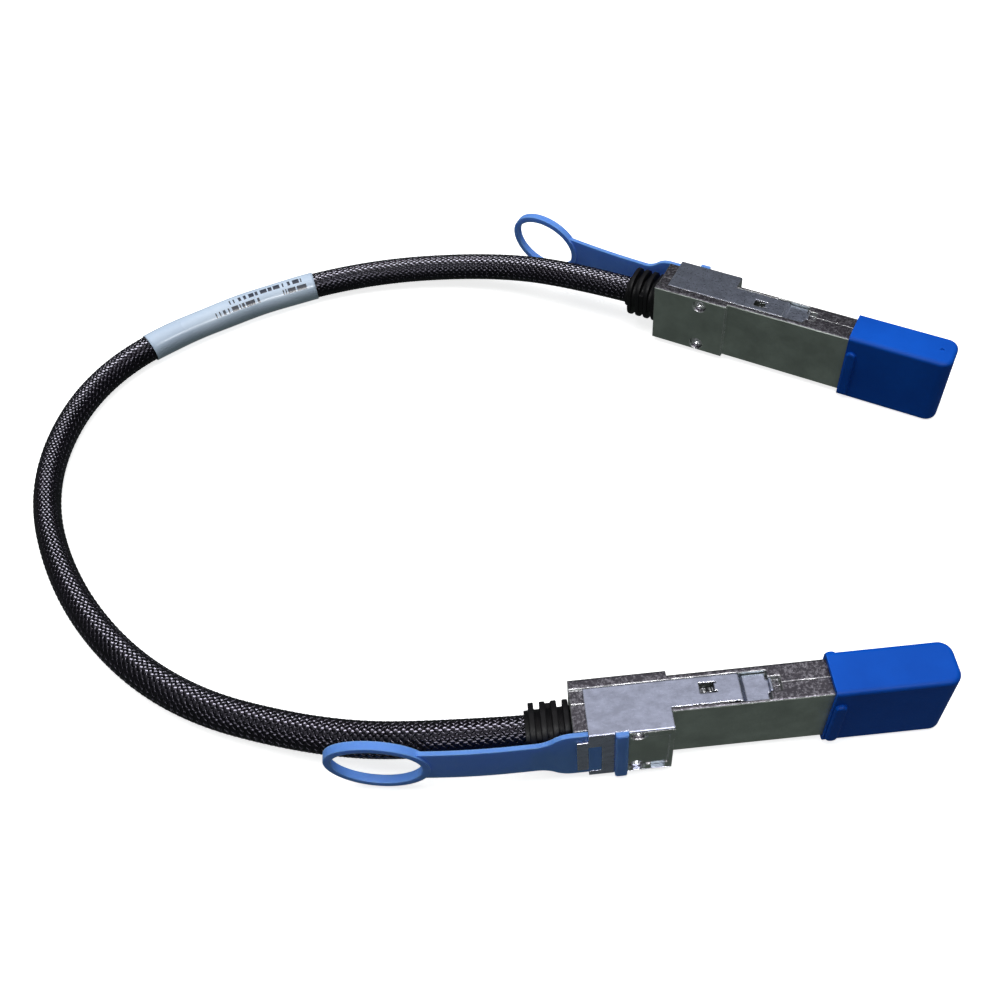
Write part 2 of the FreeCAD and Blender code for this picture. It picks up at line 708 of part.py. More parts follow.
def pull_tab(name, place, bend_start, radius, side):
    """A moulded tab: a root plate under the slider's web, a cross-bar, a strap and a finger loop."""
    body = new_body(name, place)
    middle = f"{TAB_UNDER} + tab_thickness / 2"
    loop_end = "-loop_start - loop_length"
    band, arcs = bent_strip("-loop_start + loop_wall", loop_end + " - 1", bend_start, radius, side,
                            middle, "loop_depth")
    pad(body, "loop_band", "XY_Plane", "-loop_width / 2 - 1", "loop_width / 2 + 1", [band], arcs=arcs)
    loop_middle = "-loop_start - loop_length / 2"
    frame = rectangle("-loop_start - loop_length - 9", "-loop_start + 9", "-loop_width", "loop_width")
    oval = (loop_middle, "loop_length / 2", "loop_width / 2")
    pocket(body, "loop_outside", "XZ_Plane", f"-{OUTSIDE}", f"{OUTSIDE}", [frame], ellipses=[oval])
    strap, arcs = bent_strip("-flare_end", "-loop_start - loop_length / 4", bend_start, radius, side,
                             middle, "tab_thickness")
    pad(body, "strap", "XY_Plane", "-strap_width / 2", "strap_width / 2", [strap], arcs=arcs)
    hole = (loop_middle, "loop_length / 2 - loop_wall", "loop_width / 2 - loop_wall")
    pocket(body, "finger_hole", "XZ_Plane", f"-{OUTSIDE}", f"{OUTSIDE}", ellipses=[hole])
    flare_middle = "-(neck_end + flare_end) / 2"
    half_way = "(strap_width + flare_width) / 4"
    root = [
        ("-neck_end", "-strap_width / 2"),
        (flare_middle, f"-{half_way}"),
        ("-flare_end", "-flare_width / 2"),
        (BAR_FRONT, "-flare_width / 2"),
        (BAR_FRONT, "flare_width / 2"),
        ("-flare_end", "flare_width / 2"),
        (flare_middle, half_way),
        ("-neck_end", "strap_width / 2"),
    ]
    run = "(neck_end - flare_end)"
    rise = "((flare_width - strap_width) / 2)"
    sweep = f"({run}^2 + {rise}^2) / (4 * {rise})"
    curves = {0: (sweep, -1), 1: (sweep, 1), 5: (sweep, 1), 6: (sweep, -1)}
    pad(body, "root", "XZ_Plane", TAB_UNDER, WEB_UNDER, [root], arcs=curves)
    bar_rear = "web_front + slide_gap / 2"
    bar_top = f"{GRIP_TOP} + bar_proud"
    wide = rectangle(bar_rear, BAR_FRONT, f"-({HALF_WIDTH} + bar_overhang)", f"{HALF_WIDTH} + bar_overhang")
    pad(body, "cross_bar", "XZ_Plane", f"{GRIP_TOP} - bar_wrap + slide_gap / 2", bar_top, [wide])
    neck = rectangle(bar_rear, BAR_FRONT, "-flare_width / 2", "flare_width / 2")
    pad(body, "bar_neck", "XZ_Plane", f"{TAB_UNDER} + tab_thickness / 2", GRIP_TOP, [neck])
    boss = web_window("slide_gap / 2")
    pad(body, "window_boss", "XZ_Plane", f"{TAB_UNDER} + tab_thickness / 2", GRIP_TOP, [boss])
    rounded(body, "bar_edges", "0.7 * bar_proud",
            lambda edge: all(near(vertex.Y, bar_top) for vertex in edge.Vertexes))
    return body


def paddle_card(name, place):
    """The circuit card: wide in the mouth, with a narrow tail for the wires."""
    body = new_body(name, place)
    tail = "wire_room / 2 - fit_gap"
    board = [
        ("card_tail", f"-({tail})"),
        ("mouth_start + fit_gap", f"-({tail})"),
        ("mouth_start + fit_gap", f"-({CARD_HALF})"),
        (CARD_FRONT, f"-({CARD_HALF})"),
        (CARD_FRONT, CARD_HALF),
        ("mouth_start + fit_gap", CARD_HALF),
        ("mouth_start + fit_gap", tail),
        ("card_tail", tail),
    ]
    pad(body, "board", "XZ_Plane", "-card_thickness / 2", "card_thickness / 2", [board])
    rounded(body, "lead_in", "card_thickness / 5",
            lambda edge: runs_along(edge, ACROSS) and near(edge.Vertexes[0].X, CARD_FRONT), "Chamfer", "Size")
    return body


def contact_pads(name, place):
    """The plated contacts at the card's front edge, in a row on each face, as many as fit."""
    body = new_body(name, place)
    front = f"{CARD_FRONT} - pad_setback"
    spaces = f"floor(2 * ({CARD_HALF} - pad_margin) / pad_pitch + 0.001)"
    first = f"-pad_pitch * {spaces} / 2"
    strip = rectangle(f"{front} - pad_length", front, f"{first} - pad_width / 2", f"{first} + pad_width / 2")
    face = "card_thickness / 2"
    top = pad(body, "top_contact", "XZ_Plane", face, f"{face} + pad_height", [strip])
    under = pad(body, "under_contact", "XZ_Plane", f"-{face} - pad_height", f"-{face}", [strip])
    repeated(body, "contact_rows", [top, under], "Z_Axis", "pad_pitch", f"{spaces} + 1")
    return body


def card_chips(name, place):
    """Two small memory chips on the card's upper face."""
    body = new_body(name, place)
    face = "card_thickness / 2"
    rows = []
    for side in ("-1", "1"):
        middle = f"{side} * chip_spacing / 2"
        rows.append(rectangle("chip_place", "chip_place + chip_length",
                              f"{middle} - chip_width / 2", f"{middle} + chip_width / 2"))
    pad(body, "chips", "XZ_Plane", face, f"{face} + chip_height", rows)
    return body


def wire_leads(name, place):
    """Insulated wires from the cable's end to the card, in a row on each face."""
    body = new_body(name, place)
    first = "-wire_pitch * (wire_count - 1) / 2"
    level = "card_thickness / 2 + wire_diameter / 2"
    pair = [(level, first, "wire_diameter / 2"), (f"-({level})", first, "wire_diameter / 2")]
    lead = pad(body, "lead", "YZ_Plane", "cable_entry", "card_tail + wire_overlap", circles=pair)
    repeated(body, "lead_rows", [lead], "Z_Axis", "wire_pitch", "wire_count")
    return body


def crimp_ring(name, place):
    """The ring that is squeezed on the cable's end inside the housing."""
    body = new_body(name, place)
    inner = "cable_diameter / 2 + fit_gap / 2"
    ring = rectangle("crimp_start", "cable_entry", inner, "cable_diameter / 2 + crimp_wall")
    turned(body, "Revolution", "ring", ring)
    return body


def strain_relief(name, place):
    """The soft boot: a flange held in the housing, a neck, square ribs, a bridge between the
    middle ribs and a round collar."""
    body = new_body(name, place)
    inner = "cable_diameter / 2 + fit_gap / 2"
    tail = "-boot_tail"
    core = [
        (tail, inner),
        ("flange_start + flange_length", inner),
        ("flange_start + flange_length", "flange_diameter / 2"),
        ("flange_start", "flange_diameter / 2"),
        ("flange_start", "neck_diameter / 2"),
        ("-rib_first", "neck_diameter / 2"),
        (tail, "boot_tail_diameter / 2"),
    ]
    turned(body, "Revolution", "core", core)
    low = "cable_height - rib_height / 2"
    high = "cable_height + rib_height / 2"
    plate = rectangle(low, high, "-rib_width / 2", "rib_width / 2")
    bore = ("cable_height", "0", inner)
    last = "-rib_first - rib_pitch * (rib_count - 1)"
    rib = pad(body, "rib", "YZ_Plane", f"{last} - rib_thickness", last, [plate], circles=[bore])
    corners = rounded(body, "rib_corners", "rib_round",
                      lambda edge: runs_along(edge, ALONG) and near(abs(edge.Vertexes[0].Z), "rib_width / 2"))
    repeated(body, "ribs", [rib, corners], "X_Axis", "rib_pitch", "rib_count")
    web = rectangle("cable_height - bridge_height / 2", "cable_height + bridge_height / 2",
                    "-bridge_width / 2", "bridge_width / 2")
    middle = "-rib_first - rib_thickness / 2 - rib_pitch * (rib_count - 1) / 2"
    reach = "rib_pitch / 2"
    pad(body, "bridge", "YZ_Plane", f"{middle} - {reach}", f"{middle} + {reach}", [web], circles=[bore])
    return body


def dust_cap(name, place):
    """A soft cap pushed over the nose, with a grip rib on each wide face."""
    body = new_body(name, place)
    half_y = f"{HALF_HEIGHT} + cap_gap + cap_face_wall"
    half_z = f"{HALF_WIDTH} + cap_gap + cap_side_wall"
    end = f"{CAP_RIM} + cap_length"
    block = rectangle(f"-({half_y})", half_y, f"-({half_z})", half_z)
    pad(body, "block", "YZ_Plane", CAP_RIM, end, [block])
    rounded(body, "end_corners", "cap_end_round",
            lambda edge: runs_along(edge, ACROSS) and near(edge.Vertexes[0].X, end))

    def round_a_side(edge):
        on_side = all(near(abs(vertex.Z), half_z) for vertex in edge.Vertexes)
        return on_side and not all(near(vertex.X, CAP_RIM) for vertex in edge.Vertexes)
    rounded(body, "side_edges", "cap_edge_round", round_a_side)
    room_y = f"{HALF_HEIGHT} + cap_gap"
    room_z = f"{HALF_WIDTH} + cap_gap"
    room = rectangle(f"-({room_y})", room_y, f"-({room_z})", room_z)
    pocket(body, "nose_room", "YZ_Plane", f"{CAP_RIM} - 1", f"{end} - cap_end_wall", [room])
    spacing = f"({room_z} + cap_stop_wall / 2) * 2 / (cap_stop_count + 1)"
    first = f"-({spacing}) * (cap_stop_count - 1) / 2"
    plate = rectangle(f"-({room_y} + cap_face_wall / 4)", f"{room_y} + cap_face_wall / 4",
                      f"{first} - cap_stop_wall / 2", f"{first} + cap_stop_wall / 2")
    stop = pad(body, "stop_rib", "YZ_Plane", "housing_length + cap_gap", f"{end} - 0.9 * cap_end_wall", [plate])
    repeated(body, "stop_ribs", [stop], "Z_Axis", spacing, "cap_stop_count")
    rib_top = f"{half_y} + cap_rib_proud"
    rib_rear = f"{CAP_RIM} + cap_rib_setback"
    rib_outer = f"{half_z} - cap_rib_inset"
    for word, side in [("plain", -1), ("tab", 1)]:
        ends = [f"{side} * ({rib_outer})", f"{side} * ({rib_outer} - cap_rib_reach)"]
        levels = [f"{side} * ({half_y} - cap_face_wall / 2)", f"{side} * ({rib_top})"]
        rib = rectangle(rib_rear, f"{rib_rear} + cap_rib_length", *sorted(ends, key=value))
        pad(body, f"{word}_rib", "XZ_Plane", *sorted(levels, key=value), [rib])

    def rib_corner(edge):
        return runs_along(edge, UP) and any(near(abs(vertex.Y), rib_top) for vertex in edge.Vertexes)

    def rib_crown(edge):
        return all(near(abs(vertex.Y), rib_top) for vertex in edge.Vertexes)
    rounded(body, "rib_corners", "0.45 * cap_rib_length", rib_corner)
    rounded(body, "rib_crowns", "cap_rib_round", rib_crown)
    mark = (f"{end} - cap_mark_setback", "0", "cap_mark_diameter / 2")
    pocket(body, "mould_mark", "XY_Plane", f"{half_z} - cap_mark_depth", f"{half_z} + 1", circles=[mark])
    return body


def cable_path(points):
    """Straight runs joined by arcs as large as the runs allow, and the arcs' radii."""
    edges = []
    radii = []
    start = points[0]
    for before, corner, after in zip(points, points[1:], points[2:]):
        way_in = (corner - before).normalize()
        way_out = (after - corner).normalize()
        turn = way_in.getAngle(way_out)
        cut = ARC_SHARE * min((corner - before).Length, (after - corner).Length)
        first = corner - way_in * cut
        last = corner + way_out * cut
        radius = cut / math.tan(turn / 2)
        bisector = (way_out - way_in).normalize()
        centre = corner + bisector * math.hypot(cut, radius)
        edges.append(Part.LineSegment(start, first).toShape())
        edges.append(Part.Arc(first, centre - bisector * radius, last).toShape())
        radii.append(radius)
        start = last
    edges.append(Part.LineSegment(start, points[-1]).toShape())
    return edges, radii


def stretch(edges, start, length):
    """The part of a path between two distances along it."""
    pieces = []
    reached = 0.0
    for edge in edges:
        low = max(start - reached, 0.0)
        high = min(start + length - reached, edge.Length)
        if high - low > 1e-6:
            limits = [edge.getParameterByLength(distance) for distance in (low, high)]
            pieces.append(edge.Curve.toShape(*limits))
        reached += edge.Length
    return Part.Wire(pieces)


def tube(wire, radius, inner=0.0):
    """Sweep a round section, or a ring, along a wire."""
    first = wire.OrderedEdges[0]
    begin = first.valueAt(first.FirstParameter)
    way = first.tangentAt(first.FirstParameter)
    solids = []
    for size in [radius] + ([inner] if inner else []):
        section = Part.Wire([Part.Circle(begin, way, size).toShape()])
        solids.append(wire.makePipeShell([section], True, False))
    return solids[0].cut(solids[1]) if inner else solids[0]


def add_shape(name, shape):
    """Keep a shape that no feature makes as a sub-part of its own."""
    thing = doc.addObject("Part::Feature", name)
    thing.Label = name
    thing.Shape = shape
    thing.Placement = Placement()
    return thing


def plug(letter, place, bend_start, radius, side):
    """All the sub-parts of one plug."""
    makers = [lower_housing, upper_housing, housing_rivets, latch_slider, latch_springs, paddle_card,
              contact_pads, card_chips, wire_leads, crimp_ring, strain_relief, dust_cap]
    pieces = [maker(f"{maker.__name__}_{letter}", place) for maker in makers]
    pieces.append(pull_tab(f"pull_tab_{letter}", place, bend_start, radius, side))
    return pieces


axis_height = value(AXIS_HEIGHT)
place_a = Placement(Vector(value("plug_a_x"), value("plug_a_y"), axis_height),
                    Rotation(ACROSS, value("plug_a_heading")))
place_b = Placement(Vector(value("plug_b_x"), value("plug_b_y"), axis_height), Rotation(ALONG, 180))
sub_parts = plug("a", place_a, "tab_a_bend_start", "tab_a_bend_radius", 1)
sub_parts += plug("b", place_b, "tab_b_bend_start", "tab_b_bend_radius", -1)

ends = [Vector(value("cable_entry"), value("cable_height"), 0), Vector(-value("lead_out"), value("cable_height"), 0)]
start_b = Vector(value("plug_b_x"), value("plug_b_y"), 0)
route = [place_b.multVec(point) for point in ends]
route += [start_b + Vector(*point) for point in ROUTE]
route += [place_a.multVec(point) for point in reversed(ends)]
path, radii = cable_path(route)
cable_radius = value("cable_diameter") / 2
path_length = sum(edge.Length for edge in path)
sleeve = tube(Part.Wire(path), cable_radius)
label_inside = cable_radius + value("fit_gap") / 2
label = tube(stretch(path, value("label_start"), value("label_length")),
             label_inside + value("label_wall"), label_inside)
sub_parts.append(add_shape("cable_sleeve", sleeve))
sub_parts.append(add_shape("cable_label", label))
print("cable length", round(path_length, 1), "radii", [round(radius, 1) for radius in radii])
print("cable volume over section times length",
      round(sleeve.Volume / (math.pi * cable_radius ** 2 * path_length), 5))

doc.recompute()
for thing in doc.Objects:
    if "Invalid" in thing.State or "Error" in thing.State:
        raise RuntimeError(f"{thing.Name} failed: {thing.State}")
    if thing.TypeId in ("PartDesign::Pocket", "PartDesign::Groove"):
        taken = thing.BaseFeature.Shape.Volume - thing.Shape.Volume
        if taken < 1e-6:
            raise RuntimeError(f"{thing.Name} cuts nothing")
for thing in sub_parts:
    if thing.Shape.isNull() or not thing.Shape.isValid():
        raise RuntimeError(f"{thing.Label} has no valid shape")

os.makedirs("parts", exist_ok=True)
for thing in sub_parts:
    thing.Shape.exportStep(f"parts/{thing.Label}.step")
    print(thing.Label, len(thing.Shape.Solids), round(thing.Shape.Volume, 2))
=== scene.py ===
# %% [markdown]
# # A short network cable with two latching plugs
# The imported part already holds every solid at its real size: two metal plugs with sliders, pull
# tabs, boots and dust caps, and a plain tube for the cable. This lesson dresses them. It keeps
# the rigid solids, gives each finish its own material, and replaces the plain tube by a woven
# sleeve and the plain label by a printed wrap.

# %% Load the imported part
import math

import bpy
import numpy as np
from mathutils import Matrix, Vector


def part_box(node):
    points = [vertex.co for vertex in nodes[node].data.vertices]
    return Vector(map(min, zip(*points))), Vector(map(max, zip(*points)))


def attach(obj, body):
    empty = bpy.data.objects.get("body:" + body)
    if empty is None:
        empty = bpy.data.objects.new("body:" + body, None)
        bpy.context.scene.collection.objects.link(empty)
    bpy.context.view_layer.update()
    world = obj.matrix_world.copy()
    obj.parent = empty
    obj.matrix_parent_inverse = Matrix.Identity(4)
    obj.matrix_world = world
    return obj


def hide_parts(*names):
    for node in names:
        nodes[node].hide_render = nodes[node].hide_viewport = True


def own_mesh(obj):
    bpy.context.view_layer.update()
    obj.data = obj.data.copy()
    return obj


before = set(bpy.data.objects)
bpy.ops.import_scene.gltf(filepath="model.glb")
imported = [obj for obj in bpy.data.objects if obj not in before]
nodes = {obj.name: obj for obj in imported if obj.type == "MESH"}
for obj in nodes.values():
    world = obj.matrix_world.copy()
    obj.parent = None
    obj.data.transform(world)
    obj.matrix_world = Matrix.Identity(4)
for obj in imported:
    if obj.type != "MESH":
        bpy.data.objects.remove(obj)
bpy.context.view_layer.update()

MM = 0.001
scene = bpy.context.scene


def put_in_scene(name, data):
    """Link new data to the scene as an object of that name."""
    thing = bpy.data.objects.new(name, data)
    scene.collection.objects.link(thing)
    return thing


# %% [markdown]
# ## The camera
# The view was worked out from the corners of both plugs, whose sizes are known: a camera close
# to the part, tilted well down and rolled a little. A short distance matters as much as the
# direction, because it makes the near plug larger than the far one.

# %% Camera
IMAGE_SIDE = 1000
FOCAL_PIXELS = 1103.45
OPTICAL_CENTRE = (519.7, 505.3)
CAMERA_PLACE = Vector((-36.475, -185.465, 222.64)) * MM
CAMERA_PITCH = math.radians(51.91)
CAMERA_ROLL = math.radians(5.23)
CAMERA_YAW = math.radians(-0.76)

lens = bpy.data.cameras.new("photo_camera")
lens.lens = FOCAL_PIXELS / IMAGE_SIDE * lens.sensor_width
lens.shift_x = 0.5 - OPTICAL_CENTRE[0] / IMAGE_SIDE
lens.shift_y = OPTICAL_CENTRE[1] / IMAGE_SIDE - 0.5
lens.clip_start = 0.01
camera = put_in_scene("photo_camera", lens)
level_to_tilt = Matrix.Rotation(math.pi / 2 - CAMERA_PITCH, 4, "X")
turn = Matrix.Rotation(CAMERA_YAW, 4, "Z") @ level_to_tilt @ Matrix.Rotation(-CAMERA_ROLL, 4, "Z")
camera.matrix_world = Matrix.Translation(CAMERA_PLACE) @ turn
scene.camera = camera
print("lens", round(lens.lens, 2), "shift", round(lens.shift_x, 4), round(lens.shift_y, 4))

# %% [markdown]
# ## Floor and light
# A pale floor with a little glow of its own stays pale under gentle light, as a light table does.
# A wide softbox hangs above and behind. The top faces mirror it, while the sides towards the
# camera mirror the dim room, so metal reads as metal: bright above, dark in front. A second soft
# light gives the plastics their colour and adds no mirror image. Two lights do the opposite and
# are only mirrored: a strip in front draws bright lines along the edges, and a glint behind, linked
# to the threads alone, puts the hard little dots on the braid. Four panels further out are linked
# to the metals and cards of the plugs, which would mirror only the dim room when seen from low down.

# %% Floor, softbox and room
FLOOR_RADIUS = 6.0
FLOOR_SIDES = 96
FLOOR_GLOW = 0.8
SOFTBOX = {"height": 1.0, "middle": (0.0, 0.2), "size": (1.6, 1.0), "watts": 4.6}
STRIP = {"height": 1.0, "middle": (-0.1, -0.85), "size": (1.4, 0.3), "watts": 24.0}
GLINT = {"height": 1.0, "middle": (-0.05, 0.85), "size": (0.8, 0.5), "watts": 58.0}
WASH = {"height": 1.3, "middle": (-0.1, 0.45), "size": (1.5, 1.5), "watts": 16.0}
PANEL = {"height": 1.0, "size": (2.6, 2.6), "watts": 8.0}
PANEL_MIDDLES = [(0.0, 3.3), (-3.2, 0.0), (0.0, -3.1), (3.2, 0.0)]
ROOM_TONE = (0.88, 1.0, 0.94)
ROOM_LIGHT = 0.115
BACKDROP_TONE = (0.93, 0.94, 0.95)
PAPER_VALUES = {
    "Base Color": (0.8, 0.8, 0.8, 1.0), "Roughness": 0.9, "Specular IOR Level": 0.0,
    "Emission Color": (1.0, 1.0, 1.0, 1.0), "Emission Strength": FLOOR_GLOW,
}

ring = [(FLOOR_RADIUS * math.cos(a), FLOOR_RADIUS * math.sin(a), 0.0)
        for a in np.linspace(0.0, 2 * math.pi, FLOOR_SIDES, endpoint=False)]
floor_mesh = bpy.data.meshes.new("floor")
floor_mesh.from_pydata(ring, [], [list(range(len(ring)))])
floor = put_in_scene("floor", floor_mesh)
floor.visible_glossy = False
floor.visible_diffuse = False
paper = bpy.data.materials.new("pale_paper")
paper.use_nodes = True
for socket_name, value in PAPER_VALUES.items():
    paper.node_tree.nodes["Principled BSDF"].inputs[socket_name].default_value = value
floor_mesh.materials.append(paper)


def hang_light(name, height, middle, size, watts):
    """Hang a soft rectangular light that faces straight down."""
    lamp = bpy.data.lights.new(name, "AREA")
    lamp.shape = "RECTANGLE"
    lamp.size, lamp.size_y = size
    lamp.energy = watts
    hung = put_in_scene(name, lamp)
    hung.location = (*middle, height)
    return hung


hang_light("softbox", **SOFTBOX)
wash = hang_light("wash", **WASH)
wash.visible_glossy = False
strip = hang_light("strip", **STRIP)
strip.visible_diffuse = False
glint = hang_light("glint", **GLINT)
glint.visible_diffuse = False
threads_only = bpy.data.collections.new("threads_only")
glint.light_linking.receiver_collection = threads_only
panel_lit = bpy.data.collections.new("panel_lit")
for number, middle in enumerate(PANEL_MIDDLES):
    panel = hang_light(f"panel_{number}", middle=middle, **PANEL)
    panel.light_linking.receiver_collection = panel_lit

room = bpy.data.worlds.new("room")
room.use_nodes = True
scene.world = room
room_nodes = room.node_tree.nodes
room_nodes["Background"].inputs["Color"].default_value = (*ROOM_TONE, 1.0)
room_nodes["Background"].inputs["Strength"].default_value = ROOM_LIGHT
backdrop = room_nodes.new("ShaderNodeBackground")
backdrop.inputs["Color"].default_value = (*BACKDROP_TONE, 1.0)
seen = room_nodes.new("ShaderNodeLightPath")
choose = room_nodes.new("ShaderNodeMixShader")
room_links = room.node_tree.links
room_links.new(seen.outputs["Is Camera Ray"], choose.inputs["Fac"])
room_links.new(room_nodes["Background"].outputs["Background"], choose.inputs[1])
room_links.new(backdrop.outputs["Background"], choose.inputs[2])
room_links.new(choose.outputs["Shader"], room_nodes["World Output"].inputs["Surface"])
scene.view_settings.view_transform = "Standard"

# %% [markdown]
# ## Building materials from nodes
# Every finish is a small tree of shader nodes, and a few helpers keep the trees short. One adds a node
# and wires it up in the same breath, and others do sums, map ranges and mix colours. Another gives
# coordinates that are turned with a plug, so that rolling marks run along the sheet on both plugs,
# although one lies askew.

# %% Helpers for node trees
HEADINGS = {"a": math.radians(-31.89), "b": 0.0}


def shade(tree, kind, inputs=None, **settings):
    """Add a shader node; inputs are values or other nodes' sockets, by name or by number."""
    made = tree.nodes.new("ShaderNode" + kind)
    for key, setting in settings.items():
        setattr(made, key, setting)
    for key, source in (inputs or {}).items():
        if isinstance(source, bpy.types.NodeSocket):
            tree.links.new(source, made.inputs[key])
        else:
            made.inputs[key].default_value = source
    return made


def sums(tree, operation, *values):
    """Add a Math node and give its result."""
    return shade(tree, "Math", dict(enumerate(values)), operation=operation).outputs[0]


def between(tree, value, low, high, to_low=0.0, to_high=1.0):
    """Map a value from one range to another, held at both ends."""
    ranges = {"Value": value, "From Min": low, "From Max": high, "To Min": to_low, "To Max": to_high}
    return shade(tree, "MapRange", ranges).outputs["Result"]


def mixed(tree, share, first, second):
    """Mix two colours by a share from 0 to 1."""
    return shade(tree, "Mix", {0: share, 6: first, 7: second}, data_type="RGBA").outputs[2]


def plug_coordinates(tree, heading=0.0, stretch=(1.0, 1.0, 1.0)):
    """Coordinates in metres, turned with a plug and stretched along its own axes."""
    place = shade(tree, "TexCoord").outputs["Object"]
    turned = {"Vector": place, "Rotation": (0.0, 0.0, heading), "Scale": stretch}
    return shade(tree, "Mapping", turned, vector_type="TEXTURE").outputs["Vector"]


def new_finish(name):
    """Start a material and give it with its tree and its surface shader."""
    material = bpy.data.materials.new(name)
    material.use_nodes = True
    return material, material.node_tree, material.node_tree.nodes["Principled BSDF"]


def set_surface(tree, surface, **values):
    """Set or link the surface shader's sockets, named with underscores for spaces."""
    for key, source in values.items():
        socket = surface.inputs[key.replace("_", " ")]
        if isinstance(source, bpy.types.NodeSocket):
            tree.links.new(source, socket)
        else:
            socket.default_value = source


# %% [markdown]
# ## Effects that several finishes share
# Moulds and dies leave a fine grain, handling leaves smudges, and the edges get a paler colour, partly
# rubbed wear and partly a painted highlight. Each is a node group with named sockets, built once. The
# edge group compares the true normal with one that the Bevel node has averaged over a small radius:
# they differ only near an edge, on any mesh.

# %% Groups for grain and edges
def new_group(name, inputs, outputs):
    """Start a node group; an input with no value and an output called Normal are vectors."""
    group = bpy.data.node_groups.new(name, "ShaderNodeTree")
    for label, start in inputs.items():
        kind = "NodeSocketVector" if start is None else "NodeSocketFloat"
        socket = group.interface.new_socket(label, in_out="INPUT", socket_type=kind)
        if start is not None:
            socket.default_value = start
    for label in outputs:
        kind = "NodeSocketVector" if label == "Normal" else "NodeSocketFloat"
        group.interface.new_socket(label, in_out="OUTPUT", socket_type=kind)
    taken = group.nodes.new("NodeGroupInput").outputs
    given = group.nodes.new("NodeGroupOutput").inputs
    return group, taken, given


grain_inputs = {"Vector": None, "Grain Scale": 3000.0, "Patch Scale": 160.0}
grain_group, taken, given = new_group("surface_grain", grain_inputs, ["Height", "Patches", "Specks"])
fine = shade(grain_group, "TexNoise", {"Vector": taken["Vector"], "Scale": taken["Grain Scale"], "Detail": 3.0,
                                       "Roughness": 0.6})
broad = shade(grain_group, "TexNoise", {"Vector": taken["Vector"], "Scale": taken["Patch Scale"], "Detail": 4.0,
                                        "Roughness": 0.55})
speck = shade(grain_group, "TexNoise", {"Vector": taken["Vector"], "Detail": 2.0, "Roughness": 0.7,
                                        "Scale": sums(grain_group, "MULTIPLY", taken["Grain Scale"], 0.8)})
grain_group.links.new(fine.outputs["Fac"], given["Height"])
grain_group.links.new(between(grain_group, broad.outputs["Fac"], 0.34, 0.66), given["Patches"])
grain_group.links.new(between(grain_group, speck.outputs["Fac"], 0.47, 0.72), given["Specks"])

edge_inputs = {"Vector": None, "Radius": 0.0003, "Break Scale": 700.0}
edge_group, taken, given = new_group("rubbed_and_highlit_edges", edge_inputs, ["Mask", "Normal"])
softened = shade(edge_group, "Bevel", {"Radius": taken["Radius"]}, samples=6).outputs["Normal"]
facing = shade(edge_group, "NewGeometry").outputs["True Normal"]
closeness = shade(edge_group, "VectorMath", {0: softened, 1: facing}, operation="DOT_PRODUCT").outputs["Value"]
near_edge = between(edge_group, closeness, 0.985, 0.80)
breaks = shade(edge_group, "TexNoise", {"Vector": taken["Vector"], "Scale": taken["Break Scale"], "Detail": 3.0})
uneven = between(edge_group, breaks.outputs["Fac"], 0.36, 0.60, 0.1, 1.0)
# The mask marks where edges get a paler colour: partly rubbed wear, partly a painted highlight.
edge_group.links.new(sums(edge_group, "MULTIPLY", near_edge, uneven), given["Mask"])
edge_group.links.new(softened, given["Normal"])
print("groups", [group.name for group in bpy.data.node_groups])

# The part of the grain's height, from 0 to 1, over which a finish goes from smooth to rough
GRAIN_SPAN = (0.3, 0.7)


def grain_of(tree, vector, grain_scale, patch_scale):
    """Place the grain group in a finish."""
    inputs = {"Vector": vector, "Grain Scale": grain_scale, "Patch Scale": patch_scale}
    return shade(tree, "Group", inputs, node_tree=grain_group).outputs


def edges_of(tree, vector, radius, break_scale=700.0):
    """Place the edge group in a finish."""
    inputs = {"Vector": vector, "Radius": radius, "Break Scale": break_scale}
    return shade(tree, "Group", inputs, node_tree=edge_group).outputs


def raised(tree, height, depth, normal=None):
    """A bumped normal from a height of 0 to 1 that stands for a depth in metres."""
    inputs = {"Height": height, "Distance": depth}
    if normal is not None:
        inputs["Normal"] = normal
    return shade(tree, "Bump", inputs).outputs["Normal"]


# %% [markdown]
# ## Metals
# The castings are plated zinc with a satin, slightly pitted skin, dull in the flats. Their faces that point
# up or down get a darker speckled tone, painted shade picked by the way each face turns. The slider is
# rolled sheet, so its faint clouds are drawn out one way. Rivets, crimp rings and springs are smoother. On
# all of them the edges get a paler colour, partly rubbed wear and partly a painted highlight. All are fully
# metallic: apart from those painted tones, what one sees on them is the lights or the dim room, and
# roughness decides how sharply.

# %% Metal finishes
DULL_SHARE = 0.74
SPECK_SHARE = 0.18
EDGE_POLISH = 0.5
# How far a face has to turn up or down to get the painted shade, where the change starts and ends
UP_DOWN_SHADE_TURN = (0.6, 0.8)


